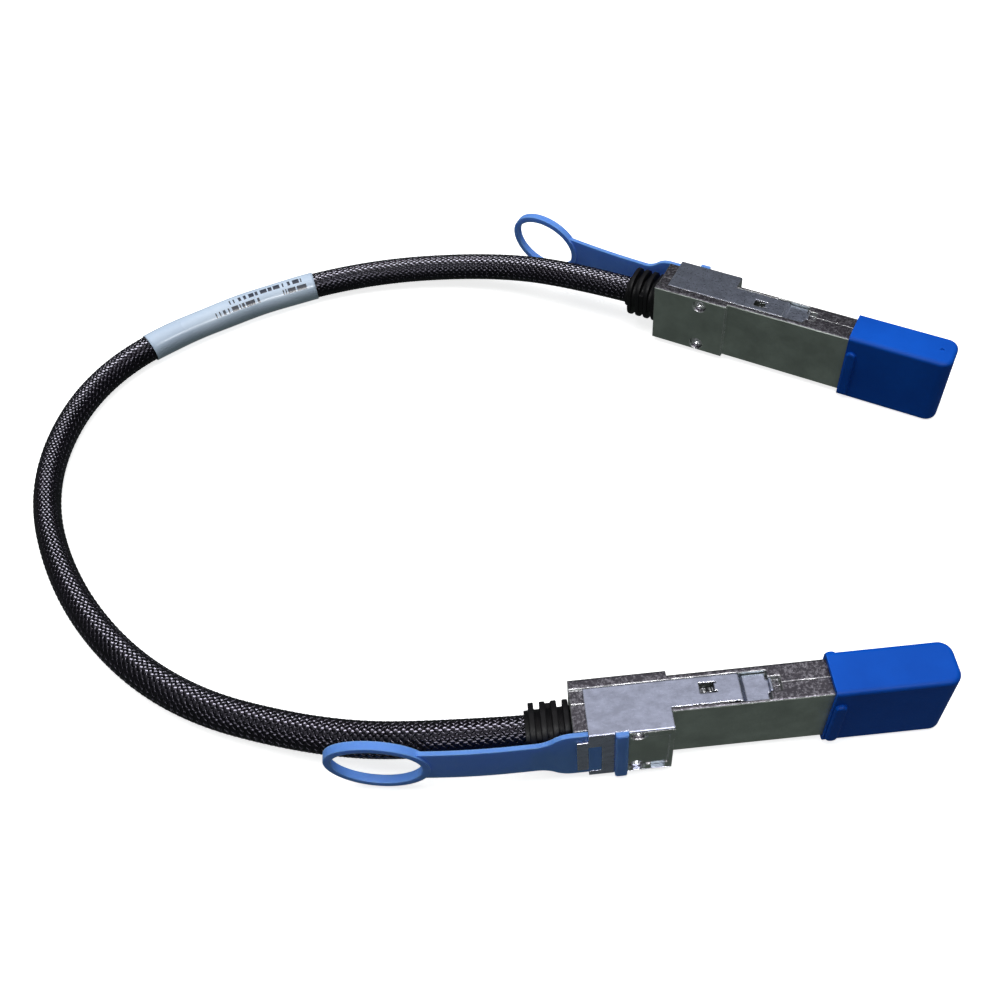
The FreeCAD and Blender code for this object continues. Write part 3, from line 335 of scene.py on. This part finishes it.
def metal_finish(name, heading, flat, worn_and_highlit, rough, grain, depth, stretch=(1.0, 1.0, 1.0), edge=0.0003,
                 patch=220.0, up_down_shade=None, speck=None):
    """A plated or rolled metal with grain and paler edges, partly rubbed wear and partly painted highlight; the
    tone given for faces that point up or down is painted shade.
    """
    material, tree, surface = new_finish(name)
    along = plug_coordinates(tree, heading, stretch)
    marks = grain_of(tree, along, grain, patch)
    edges = edges_of(tree, plug_coordinates(tree, heading), edge)
    rubbed_and_highlit = edges["Mask"]
    dull = tuple(channel * DULL_SHARE for channel in flat)
    tone = mixed(tree, marks["Patches"], (*dull, 1.0), (*flat, 1.0))
    tone = mixed(tree, sums(tree, "MULTIPLY", marks["Specks"], SPECK_SHARE), tone, (*dull, 1.0))
    # Faces that point up or down get a darker tone: painted shade, picked by the way each face turns.
    if up_down_shade:
        facing = shade(tree, "SeparateXYZ", {0: shade(tree, "NewGeometry").outputs["True Normal"]}).outputs["Z"]
        on_shaded_faces = between(tree, sums(tree, "ABSOLUTE", facing), *UP_DOWN_SHADE_TURN)
        shaded_speckle = mixed(tree, marks["Specks"], (*up_down_shade, 1.0), (*speck, 1.0))
        tone = mixed(tree, on_shaded_faces, tone, shaded_speckle)
    # Edges get a paler colour: partly rubbed wear, partly a painted highlight.
    colour = mixed(tree, rubbed_and_highlit, tone, (*worn_and_highlit, 1.0))
    spread = between(tree, marks["Height"], *GRAIN_SPAN, *rough)
    polish = sums(tree, "MULTIPLY_ADD", rubbed_and_highlit, -EDGE_POLISH * rough[0], spread)
    set_surface(tree, surface, Metallic=1.0, Base_Color=colour, Roughness=polish,
                Normal=raised(tree, marks["Height"], depth, edges["Normal"]))
    return material


finishes = {}
for letter, heading in HEADINGS.items():
    # The castings' darker tone on faces that point up or down is painted shade, and their pale edge colour partly a
    # painted highlight.
    finishes["casting", letter] = metal_finish(
        f"plated_casting_{letter}", heading, (0.42, 0.47, 0.43), (0.95, 0.94, 0.97), (0.34, 0.50), 2200.0, 0.00004,
        edge=0.0005, patch=120.0, up_down_shade=(0.085, 0.078, 0.094), speck=(0.36, 0.34, 0.39))
    finishes["slider", letter] = metal_finish(
        f"rolled_sheet_{letter}", heading, (0.44, 0.46, 0.60), (0.97, 0.96, 1.0), (0.24, 0.40), 2600.0, 0.00002,
        stretch=(1.6, 1.0, 1.0), edge=0.0004, patch=640.0)
    finishes["rivet", letter] = metal_finish(
        f"swaged_rivet_{letter}", heading, (0.82, 0.82, 0.84), (0.97, 0.97, 0.99), (0.18, 0.30), 2200.0, 0.00002)
spring_wire = metal_finish("drawn_spring_wire", 0.0, (0.74, 0.74, 0.76), (0.95, 0.95, 0.97), (0.12, 0.2),
                           5000.0, 0.000004)
plating = metal_finish("gold_contact", 0.0, (0.83, 0.60, 0.24), (0.95, 0.80, 0.45), (0.18, 0.28),
                       6000.0, 0.000003)
print("metals", [m.name for m in (*finishes.values(), spring_wire, plating)])

# %% [markdown]
# ## Moulded plastics and rubber
# The dust caps are a soft, deep blue plastic and the pull tabs a lighter, firmer one. Both come out of
# a spark-eroded mould, so they have a fine pebbled grain and a low sheen, and their edges are a little
# paler, partly rubbed wear and partly a painted highlight. The boots are black rubber with a dusty bloom,
# and their edges are painted paler in the same way.

# %% Plastic finishes
MOULD_PATCHES = 75.0
MOULD_EDGE_BREAKS = 420.0


def moulded_finish(name, deep, pale, worn_and_highlit, rough, grain, depth, edge=0.0004, edge_share=0.5, **surface_values):
    """A moulded plastic: two tones in soft patches, pebbled grain, and paler edges, partly rubbed wear and partly
    painted highlight.
    """
    material, tree, surface = new_finish(name)
    place = plug_coordinates(tree)
    marks = grain_of(tree, place, grain, MOULD_PATCHES)
    rubbed_and_highlit = sums(tree, "MULTIPLY", edges_of(tree, place, edge, MOULD_EDGE_BREAKS)["Mask"], edge_share)
    tone = mixed(tree, marks["Patches"], (*deep, 1.0), (*pale, 1.0))
    # Edges get a paler colour: partly rubbed wear, partly a painted highlight.
    colour = mixed(tree, rubbed_and_highlit, tone, (*worn_and_highlit, 1.0))
    sheen = between(tree, marks["Height"], *GRAIN_SPAN, *rough)
    set_surface(tree, surface, Base_Color=colour, Roughness=sheen,
                Normal=raised(tree, marks["Height"], depth), **surface_values)
    return material


cap_blue = moulded_finish("cap_blue_plastic", (0.001, 0.080, 0.52), (0.002, 0.098, 0.61), (0.006, 0.17, 0.82),
                          (0.40, 0.54), 3200.0, 0.00002, edge=0.0006, edge_share=0.5, Specular_IOR_Level=0.1)
tab_blue = moulded_finish("tab_blue_plastic", (0.125, 0.305, 0.92), (0.15, 0.345, 1.0), (0.24, 0.45, 1.0),
                          (0.36, 0.50), 3600.0, 0.000016, edge=0.0005, edge_share=0.6, Specular_IOR_Level=0.3,
                          Subsurface_Weight=0.55, Subsurface_Scale=0.0025, Subsurface_Radius=(1.0, 1.0, 1.0))
boot_black = moulded_finish("boot_black_rubber", (0.004, 0.004, 0.005), (0.008, 0.007, 0.009), (0.03, 0.028, 0.034),
                            (0.40, 0.60), 2800.0, 0.00003, edge=0.0003, edge_share=0.4, Specular_IOR_Level=0.2)
chip_black = moulded_finish("chip_black_resin", (0.012, 0.012, 0.012), (0.022, 0.022, 0.022), (0.06, 0.06, 0.06),
                            (0.5, 0.65), 5200.0, 0.00001)
wire_grey = moulded_finish("wire_pale_insulation", (0.52, 0.52, 0.50), (0.66, 0.66, 0.63), (0.8, 0.8, 0.78),
                           (0.35, 0.5), 2400.0, 0.000008)
print("plastics", [m.name for m in (cap_blue, tab_blue, boot_black, chip_black, wire_grey)])

# %% [markdown]
# ## The circuit card
# Only its front edge shows when a cap is off. Solder mask is a glossy green film, a little darker
# between the copper tracks, which run along the plug in a regular row.

# %% Card finish
TRACK_PITCH = 0.8 * MM


def card_finish(name, heading):
    """Green solder mask over a row of tracks that run along the plug."""
    material, tree, surface = new_finish(name)
    place = plug_coordinates(tree, heading)
    across = shade(tree, "SeparateXYZ", {0: place}).outputs["Z"]
    wave = sums(tree, "SINE", sums(tree, "MULTIPLY", across, 2 * math.pi / TRACK_PITCH))
    track = between(tree, wave, 0.0, 0.35)
    marks = grain_of(tree, place, 4200.0, 220.0)
    mask = mixed(tree, track, (0.010, 0.075, 0.030, 1.0), (0.030, 0.165, 0.065, 1.0))
    colour = mixed(tree, sums(tree, "MULTIPLY", marks["Patches"], 0.3), mask, (0.012, 0.09, 0.04, 1.0))
    set_surface(tree, surface, Base_Color=colour, Normal=raised(tree, track, 0.00002),
                Roughness=between(tree, marks["Height"], *GRAIN_SPAN, 0.22, 0.36))
    return material


for letter, heading in HEADINGS.items():
    finishes["card", letter] = card_finish(f"solder_mask_{letter}", heading)
print("cards", [finishes["card", letter].name for letter in HEADINGS])

# %% [markdown]
# ## Dressing the solids
# The rigid pieces stay as they were built and only get their finishes. A modifier stack softens the
# edges of the castings, pull tabs and boots: Weld joins the seams of the imported mesh, Decimate
# dissolves the flat triangles, and Bevel rounds what is left, by more on the plastic and rubber than on
# the castings. Weighted normals then keep the flat faces flat. Modifiers leave the solid's own mesh untouched.

# %% Finishes and softened edges of the rigid pieces
PIECE_FINISHES = {
    "lower_housing": "casting", "upper_housing": "casting", "latch_slider": "slider", "housing_rivets": "rivet",
    "crimp_ring": "rivet", "paddle_card": "card", "dust_cap": cap_blue, "pull_tab": tab_blue,
    "strain_relief": boot_black, "card_chips": chip_black, "wire_leads": wire_grey, "contact_pads": plating,
}
EDGE_ROUNDS = {"lower_housing": 0.14, "upper_housing": 0.14, "pull_tab": 0.28, "strain_relief": 0.45}


def soften_edges(piece, width):
    """Round the sharp edges of a solid with modifiers alone."""
    weld = piece.modifiers.new("joined_seams", "WELD")
    weld.merge_threshold = 0.002 * MM
    flat = piece.modifiers.new("plain_flats", "DECIMATE")
    flat.decimate_type = "DISSOLVE"
    flat.angle_limit = math.radians(0.5)
    round_off = piece.modifiers.new("softened_edges", "BEVEL")
    round_off.width = width * MM
    round_off.segments = 2
    round_off.limit_method = "ANGLE"
    round_off.angle_limit = math.radians(40.0)
    round_off.miter_outer = "MITER_ARC"
    even = piece.modifiers.new("even_shading", "WEIGHTED_NORMAL")
    even.keep_sharp = True


for name, piece in nodes.items():
    family, letter = name[:-2], name[-1]
    if family not in PIECE_FINISHES:
        continue
    finish = PIECE_FINISHES[family]
    if isinstance(finish, str):
        finish = finishes[finish, letter]
        panel_lit.objects.link(piece)
    piece.data.materials.clear()
    piece.data.materials.append(finish)
    if family in EDGE_ROUNDS:
        soften_edges(piece, EDGE_ROUNDS[family])
print("dressed", sum(1 for name in nodes if name[:-2] in PIECE_FINISHES), "of", len(nodes), "solids")

# %% [markdown]
# ## The cable's line
# The cable leaves plug b straight, comes down to the floor, swings round in one wide loop and
# rises into plug a. The points are those that the solid tube was bent round. As control points
# of a smooth spline they give a line with no kinks, and every strand of the sleeve is then wound
# round points read from that one line. The jacket's radius sits on the points themselves: Blender
# pads a curve's box by that radius, which starts at a whole metre.

# %% Spline of the cable and its black jacket
jacket_black = moulded_finish("jacket_black", (0.004, 0.004, 0.005), (0.008, 0.008, 0.009), (0.01, 0.01, 0.012),
                              (0.6, 0.8), 2000.0, 0.00002)
CABLE_LENGTH = 402.1 * MM
JACKET_RADIUS = 2.95 * MM
LINE_STEPS = 24
JACKET_STEPS = 6
ROUTE = [
    (-22.345, -79.805, 10.445),
    (-52.545, -79.805, 10.445),
    (-82.445, -73.705, 4.6),
    (-119.445, -58.705, 3.95),
    (-146.545, -28.105, 3.95),
    (-160.345, 11.195, 3.95),
    (-149.445, 50.195, 3.95),
    (-113.745, 71.095, 3.95),
    (-75.145, 81.995, 3.95),
    (-35.245, 77.895, 5.6),
    (-8.235, 62.353, 10.445),
    (17.407, 46.399, 10.445),
]


def cable_curve(name):
    """A smooth open curve whose control points are the route's."""
    line = bpy.data.curves.new(name, "CURVE")
    line.dimensions = "3D"
    line.resolution_u = LINE_STEPS
    spline = line.splines.new("NURBS")
    spline.points.add(len(ROUTE) - 1)
    for point, place in zip(spline.points, ROUTE):
        point.co = (*(Vector(place) * MM), 1.0)
        point.radius = JACKET_RADIUS
    spline.order_u = 3
    spline.use_endpoint_u = True
    return line


jacket_line = cable_curve("cable_jacket")
jacket_line.bevel_depth = 1.0
jacket_line.bevel_resolution = JACKET_STEPS
jacket_line.use_fill_caps = True
jacket = put_in_scene("cable_jacket", jacket_line)
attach(jacket, "cable")
jacket_line.materials.append(jacket_black)

bare = put_in_scene("bare_line", cable_curve("bare_line"))
bpy.context.view_layer.update()
bare_mesh = bpy.data.meshes.new_from_object(bare)
line_points = np.array([vertex.co for vertex in bare_mesh.vertices])
bpy.data.objects.remove(bare)
line_steps = np.linalg.norm(np.diff(line_points, axis=0), axis=1)
line_reach = np.concatenate([[0.0], np.cumsum(line_steps)])
line_length = line_reach[-1]
print("points on the line", len(line_points), "length", round(line_length, 4))

# %% [markdown]
# ## Winding round the line
# To wind anything round a curve we need, at each distance along it, the place, and two directions
# square to the line. Carrying one direction along without twisting keeps the windings even. The
# bundle inside isn't quite round: it lies flat near the plugs and stands on edge in the far bend, so
# a short table says how wide and how high the sleeve is along its way.

# %% Frames along the line
tangents = np.gradient(line_points, axis=0)
tangents /= np.linalg.norm(tangents, axis=1)[:, None]
first_side = np.cross(tangents[0], (0.0, 0.0, 1.0))
sides = [first_side / np.linalg.norm(first_side)]
for tangent in tangents[1:]:
    carried = sides[-1] - tangent * np.dot(sides[-1], tangent)
    sides.append(carried / np.linalg.norm(carried))
sides = np.array(sides)
tops = np.cross(sides, tangents)

# Distance along the cable in mm, and the sleeve's width and height as shares of a round one's
SECTION_SHAPE = np.array([
    (0.0, 1.0, 1.0), (18.0, 1.0, 1.0), (30.0, 1.10, 0.97), (48.0, 1.16, 0.95), (100.0, 1.13, 0.96),
    (135.0, 1.02, 1.02), (160.0, 0.93, 1.06), (205.0, 0.93, 1.06), (232.0, 1.03, 1.0), (290.0, 1.05, 0.99),
    (312.0, 1.12, 0.96), (360.0, 1.16, 0.95), (374.0, 1.10, 0.97), (386.0, 1.0, 1.0), (410.0, 1.0, 1.0),
])
SECTION_STEPS = 400
SOFT_STEPS = 21
section_reach = np.linspace(0.0, line_length, SECTION_STEPS)
soft_window = np.hanning(SOFT_STEPS) / np.hanning(SOFT_STEPS).sum()
section_shares = []
for column in SECTION_SHAPE[:, 1:].T:
    share = np.interp(section_reach, SECTION_SHAPE[:, 0] * MM, column)
    padded = np.pad(share, SOFT_STEPS // 2, "edge")
    section_shares.append(np.convolve(padded, soft_window, "valid"))
print("sleeve's width", [round(float(end), 3) for end in (section_shares[0].min(), section_shares[0].max())])


def around_line(distance, angle, radius):
    """Points at that distance along the cable, that angle round it and that far from its middle."""
    def at(table):
        return np.stack([np.interp(distance, line_reach, column) for column in table.T], axis=-1)
    wide, high = [np.interp(distance, section_reach, share) * radius for share in section_shares]
    outward = at(sides) * (np.cos(angle) * wide)[..., None] + at(tops) * (np.sin(angle) * high)[..., None]
    return at(line_points) + outward


def mesh_piece(name, points, faces):
    """Make a smooth mesh object from an array of points and a list of faces."""
    mesh = bpy.data.meshes.new(name)
    mesh.from_pydata(points.reshape(-1, 3).tolist(), [], faces)
    mesh.polygons.foreach_set("use_smooth", [True] * len(mesh.polygons))
    mesh.update()
    return put_in_scene(name, mesh)


# %% [markdown]
# ## The woven sleeve
# The sleeve is a plain braid: sixteen carriers wind to the right and sixteen to the left, each over
# one and under the next. Every carrier is a flat pair of shiny threads. All right-hand carriers
# ride high on the same rings of the cable and dip on the next, so one cosine of the distance gives
# the whole weave. Real strands catch the light one crossing at a time, which a bump texture on a
# smooth tube would not do at the edges of the cable. Four points to a crossing are the fewest that
# let the shading follow each dip, and to keep the meshes small every hand is made as two pieces.

# %% Braid strands
def braid_finish(name):
    """Smooth black thread with faint shifts of tone along the sleeve, which takes hard glints."""
    material, tree, surface = new_finish(name)
    place = plug_coordinates(tree)
    marks = grain_of(tree, place, 5200.0, 110.0)
    colour = mixed(tree, marks["Patches"], (0.0015, 0.0015, 0.002, 1.0), (0.004, 0.0035, 0.006, 1.0))
    set_surface(tree, surface, Base_Color=colour, Specular_IOR_Level=0.35, Specular_Tint=(0.84, 0.80, 1.0, 1.0),
                Roughness=between(tree, marks["Height"], *GRAIN_SPAN, 0.14, 0.24),
                Normal=raised(tree, marks["Height"], 0.000004))
    return material


thread_black = braid_finish("braid_black_thread")
CARRIERS = 16
BRAID_LEAD = 28.3 * MM
STRAND_WIDTH = 1.06 * MM
STRAND_RADIUS = 3.53 * MM
WEAVE_RISE = 0.10 * MM
SAMPLES_PER_CROSSING = 4
# Each thread pair's section: how far across, in strand widths, and how far below its crown
STRAND_SECTION = [(-0.5, 0.16), (-0.27, 0.0), (0.0, 0.09), (0.27, 0.0), (0.5, 0.16)]


def braid_strands(name, hand, first):
    """Every second strand that winds one way, as closed bands that ride over and under the others."""
    crossing = BRAID_LEAD / (2 * CARRIERS)
    count = int(line_length / crossing * SAMPLES_PER_CROSSING) + 1
    distance = np.linspace(0.0, line_length, count)
    rise = hand * WEAVE_RISE * np.cos(math.pi * distance / crossing)
    lean = math.atan2(2 * math.pi * STRAND_RADIUS, BRAID_LEAD)
    across = np.array([place for place, _ in STRAND_SECTION]) * STRAND_WIDTH
    below = np.array([depth for _, depth in STRAND_SECTION]) * MM
    carrier = np.arange(first, CARRIERS, 2) * 2 * math.pi / CARRIERS
    shape = (len(carrier), count, len(across))
    along = np.clip(distance[:, None] - hand * across[None, :] * math.sin(lean), 0.0, line_length)
    along = np.broadcast_to(along[None], shape)
    angle = (hand * 2 * math.pi * distance[None, :, None] / BRAID_LEAD + carrier[:, None, None]
             + across[None, None, :] * math.cos(lean) / STRAND_RADIUS)
    radius = np.broadcast_to((STRAND_RADIUS + rise[:, None] - below[None, :])[None], shape)
    points = around_line(along, angle, radius)
    width = len(across)
    faces = []
    for strand in range(len(carrier)):
        base = strand * count * width
        for step in range(count - 1):
            here = base + step * width
            following = here + width
            for column in range(width):
                beside = (column + 1) % width
                faces.append((here + column, here + beside, following + beside, following + column))
        last = base + (count - 1) * width
        faces.append(tuple(range(base + width - 1, base - 1, -1)))
        faces.append(tuple(range(last, last + width)))
    return mesh_piece(name, points, faces)


braid = [braid_strands(f"braid_{word}_hand_{first + 1}", hand, first)
         for word, hand in [("right", 1), ("left", -1)] for first in (0, 1)]
for strands in braid:
    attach(strands, "cable")
    strands.data.materials.append(thread_black)
    threads_only.objects.link(strands)
    print(strands.name, "triangles", sum(len(face.vertices) - 2 for face in strands.data.polygons))

# %% [markdown]
# ## The wrap label
# A strip of white film is wrapped once round the sleeve and its end laps over its start. Wound as a
# spiral with a small step at the lap, it looks like film and not like a painted band. Its own
# coordinates, along and around, carry the print: two rows of plain strokes in groups.

# %% Label
LABEL_START = 235.0 * MM / CABLE_LENGTH
LABEL_LENGTH = 52.0 * MM
LABEL_RADIUS = 3.76 * MM
LABEL_FILM = 0.12 * MM
LAP_ANGLE = math.radians(-70.0)
LABEL_COLUMNS = 72
LABEL_ROWS = 96
LABEL_WAVE_HEIGHT = 0.07 * MM
LABEL_WAVE_STEP = 3.4 * MM


def wrap_label(name):
    """A thin closed tube of film with a lap along it and faint waves from the braid below."""
    start = LABEL_START * line_length
    distance = np.linspace(start, start + LABEL_LENGTH, LABEL_COLUMNS)
    turn = np.linspace(0.0, 2 * math.pi, LABEL_ROWS, endpoint=False)
    along, around = np.meshgrid(distance, turn, indexing="ij")
    ripple = np.sin(along / LABEL_WAVE_STEP + 2.0 * np.sin(around))
    waves = LABEL_WAVE_HEIGHT * ripple * np.sin(2 * around + 0.7)
    spiral = LABEL_FILM * (1.0 - around / (2 * math.pi))
    outer = around_line(along, around + LAP_ANGLE, LABEL_RADIUS + LABEL_FILM + spiral * 0.5 + waves)
    inner = around_line(along, around + LAP_ANGLE, np.full(along.shape, LABEL_RADIUS))
    points = np.concatenate([outer.reshape(-1, 3), inner.reshape(-1, 3)])
    shift = LABEL_COLUMNS * LABEL_ROWS

    def corner(column, row, layer):
        return layer * shift + column * LABEL_ROWS + row % LABEL_ROWS
    faces = []
    for row in range(LABEL_ROWS):
        for column in range(LABEL_COLUMNS - 1):
            square = [(column, row), (column + 1, row), (column + 1, row + 1), (column, row + 1)]
            faces.append([corner(c, r, 0) for c, r in reversed(square)])
            faces.append([corner(c, r, 1) for c, r in square])
        for column, order in [(0, 1), (LABEL_COLUMNS - 1, -1)]:
            edge = [(row, 0), (row + 1, 0), (row + 1, 1), (row, 1)]
            faces.append([corner(column, r, layer) for r, layer in edge[::order]])
    piece = mesh_piece(name, points, faces)
    film = piece.data.uv_layers.new(name="film")
    for face in piece.data.polygons:
        rows = [(piece.data.loops[i].vertex_index % shift) % LABEL_ROWS for i in face.loop_indices]
        wraps = max(rows) - min(rows) > 1
        for i, row in zip(face.loop_indices, rows):
            column = (piece.data.loops[i].vertex_index % shift) // LABEL_ROWS
            height = (row + LABEL_ROWS * (wraps and row == 0)) / LABEL_ROWS
            film.data[i].uv = (column / (LABEL_COLUMNS - 1), height)
    return piece


# Each row of print: its lowest and highest place around the film, then its start and end along it
PRINT_ROWS = [(0.388, 0.450, 0.50, 0.93), (0.292, 0.354, 0.40, 0.95)]
PRINT_STROKES = 130.0
PRINT_WORDS = 15.0
STROKE_GAPS = 0.4
WORD_GAPS = 0.1
INK_SHARE = 0.98


def label_finish(name):
    """White film under a clear coat, printed with two rows of plain upright strokes in groups."""
    material, tree, surface = new_finish(name)
    film = shade(tree, "UVMap", uv_map="film").outputs["UV"]
    apart = shade(tree, "SeparateXYZ", {0: film}).outputs
    inked = 0.0
    for number, (low, high, start, end) in enumerate(PRINT_ROWS):
        row = 1.0
        for density, sparse in [(PRINT_STROKES, STROKE_GAPS), (PRINT_WORDS, WORD_GAPS)]:
            cell = sums(tree, "FLOOR", sums(tree, "MULTIPLY", apart["X"], density))
            place = shade(tree, "CombineXYZ", {"X": cell, "Y": number + density}).outputs[0]
            chance = shade(tree, "TexWhiteNoise", {"Vector": place}, noise_dimensions="2D").outputs["Value"]
            row = sums(tree, "MULTIPLY", row, sums(tree, "GREATER_THAN", chance, sparse))
        for place, least, most in [(apart["Y"], low, high), (apart["X"], start, end)]:
            row = sums(tree, "MULTIPLY", row, sums(tree, "GREATER_THAN", place, least))
            row = sums(tree, "MULTIPLY", row, sums(tree, "LESS_THAN", place, most))
        inked = sums(tree, "ADD", inked, row)
    marks = grain_of(tree, plug_coordinates(tree), 1500.0, 90.0)
    paper = mixed(tree, marks["Patches"], (0.58, 0.70, 0.88, 1.0), (0.64, 0.76, 0.93, 1.0))
    colour = mixed(tree, sums(tree, "MULTIPLY", inked, INK_SHARE), paper, (0.03, 0.035, 0.06, 1.0))
    set_surface(tree, surface, Base_Color=colour, Roughness=between(tree, marks["Patches"], 0.0, 1.0, 0.24, 0.36),
                Coat_Weight=0.3, Coat_Roughness=0.16, Normal=raised(tree, marks["Height"], 0.000012))
    return material


label = wrap_label("printed_label")
label.data.materials.append(label_finish("label_white_film"))
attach(label, "cable")
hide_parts("cable_label")
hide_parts("cable_sleeve")
print("label from", round(LABEL_START * line_length / MM, 1), "mm along the cable")

# %% [markdown]
# ## Springs
# A small spring stands behind the window in each arm of each slider and pushes the slider back. The
# solid springs are hidden, and these are wound again here as meshes: a circle swept along a helix,
# closer at its two dead ends as a real one is.

# %% Springs behind the slider windows
# All in mm, the springs' along and across a plug's own axes
PLUG_PLACES = {"a": (11.615, 48.825), "b": (-28.545, -78.805)}
PLUG_AXIS_HEIGHT = 10.445
SPRING_SEAT = 22.5
SPRING_LENGTH = 6.9
SPRING_COIL = 0.93
SPRING_WIRE = 0.17
SPRING_TURNS = 6.0
SPRING_DEAD_ENDS = 0.75
SPRING_MIDDLE = -0.35
SPRING_LEVEL = 7.375
SPRING_STEPS = 181
SPRING_SIDES = 10


def plug_matrix(letter):
    """From a plug's own axes in mm to the scene in metres."""
    turn = Matrix.Rotation(HEADINGS["a"], 4, "Z") if letter == "a" else Matrix.Rotation(math.pi, 4, "X")
    place = Matrix.Translation(Vector((*PLUG_PLACES[letter], PLUG_AXIS_HEIGHT)) * MM)
    return place @ turn @ Matrix.Scale(MM, 4)


def wind_springs(name, letter):
    """Both springs of a plug as one mesh, wound round lines that run along the plug."""
    steps = np.linspace(0.0, 1.0, SPRING_STEPS)
    ring = np.linspace(0.0, 2 * math.pi, SPRING_SIDES, endpoint=False)
    forward = np.array((1.0, 0.0, 0.0))
    climb = (steps - SPRING_DEAD_ENDS * np.sin(2 * math.pi * steps) / (2 * math.pi)) * SPRING_LENGTH
    angle = 2 * math.pi * SPRING_TURNS * steps
    points, faces = [], []
    for side in (1.0, -1.0):
        base = len(points)
        middle = np.stack([SPRING_SEAT + SPRING_WIRE + climb, SPRING_MIDDLE + SPRING_COIL * np.cos(angle),
                           side * SPRING_LEVEL + SPRING_COIL * np.sin(angle)], axis=1)
        outward = np.stack([np.zeros_like(angle), np.cos(angle), np.sin(angle)], axis=1)
        for centre, away in zip(middle, outward):
            points += [centre + SPRING_WIRE * (away * math.cos(t) + forward * math.sin(t)) for t in ring]
        count = len(ring)
        for step in range(len(steps) - 1):
            for i in range(count):
                j = (i + 1) % count
                here, following = base + step * count, base + (step + 1) * count
                faces.append((here + i, following + i, following + j, here + j))
        last = base + (len(steps) - 1) * count
        faces.append(tuple(range(base, base + count)))
        faces.append(tuple(range(last + count - 1, last - 1, -1)))
    to_scene = plug_matrix(letter)
    placed = np.array([to_scene @ Vector(point) for point in points])
    return mesh_piece(name, placed, faces)


for letter in HEADINGS:
    springs = wind_springs(f"wound_springs_{letter}", letter)
    springs.data.materials.append(spring_wire)
    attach(springs, "cable")
    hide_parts(f"latch_springs_{letter}")
    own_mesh(springs)
    low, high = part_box(f"latch_springs_{letter}")
    wound = np.array([vertex.co for vertex in springs.data.vertices])
    print(springs.name, "solid box", [round(n / MM, 2) for n in (*low, *high)],
          "wound box", [round(float(n) / MM, 2) for n in (*wound.min(axis=0), *wound.max(axis=0))])
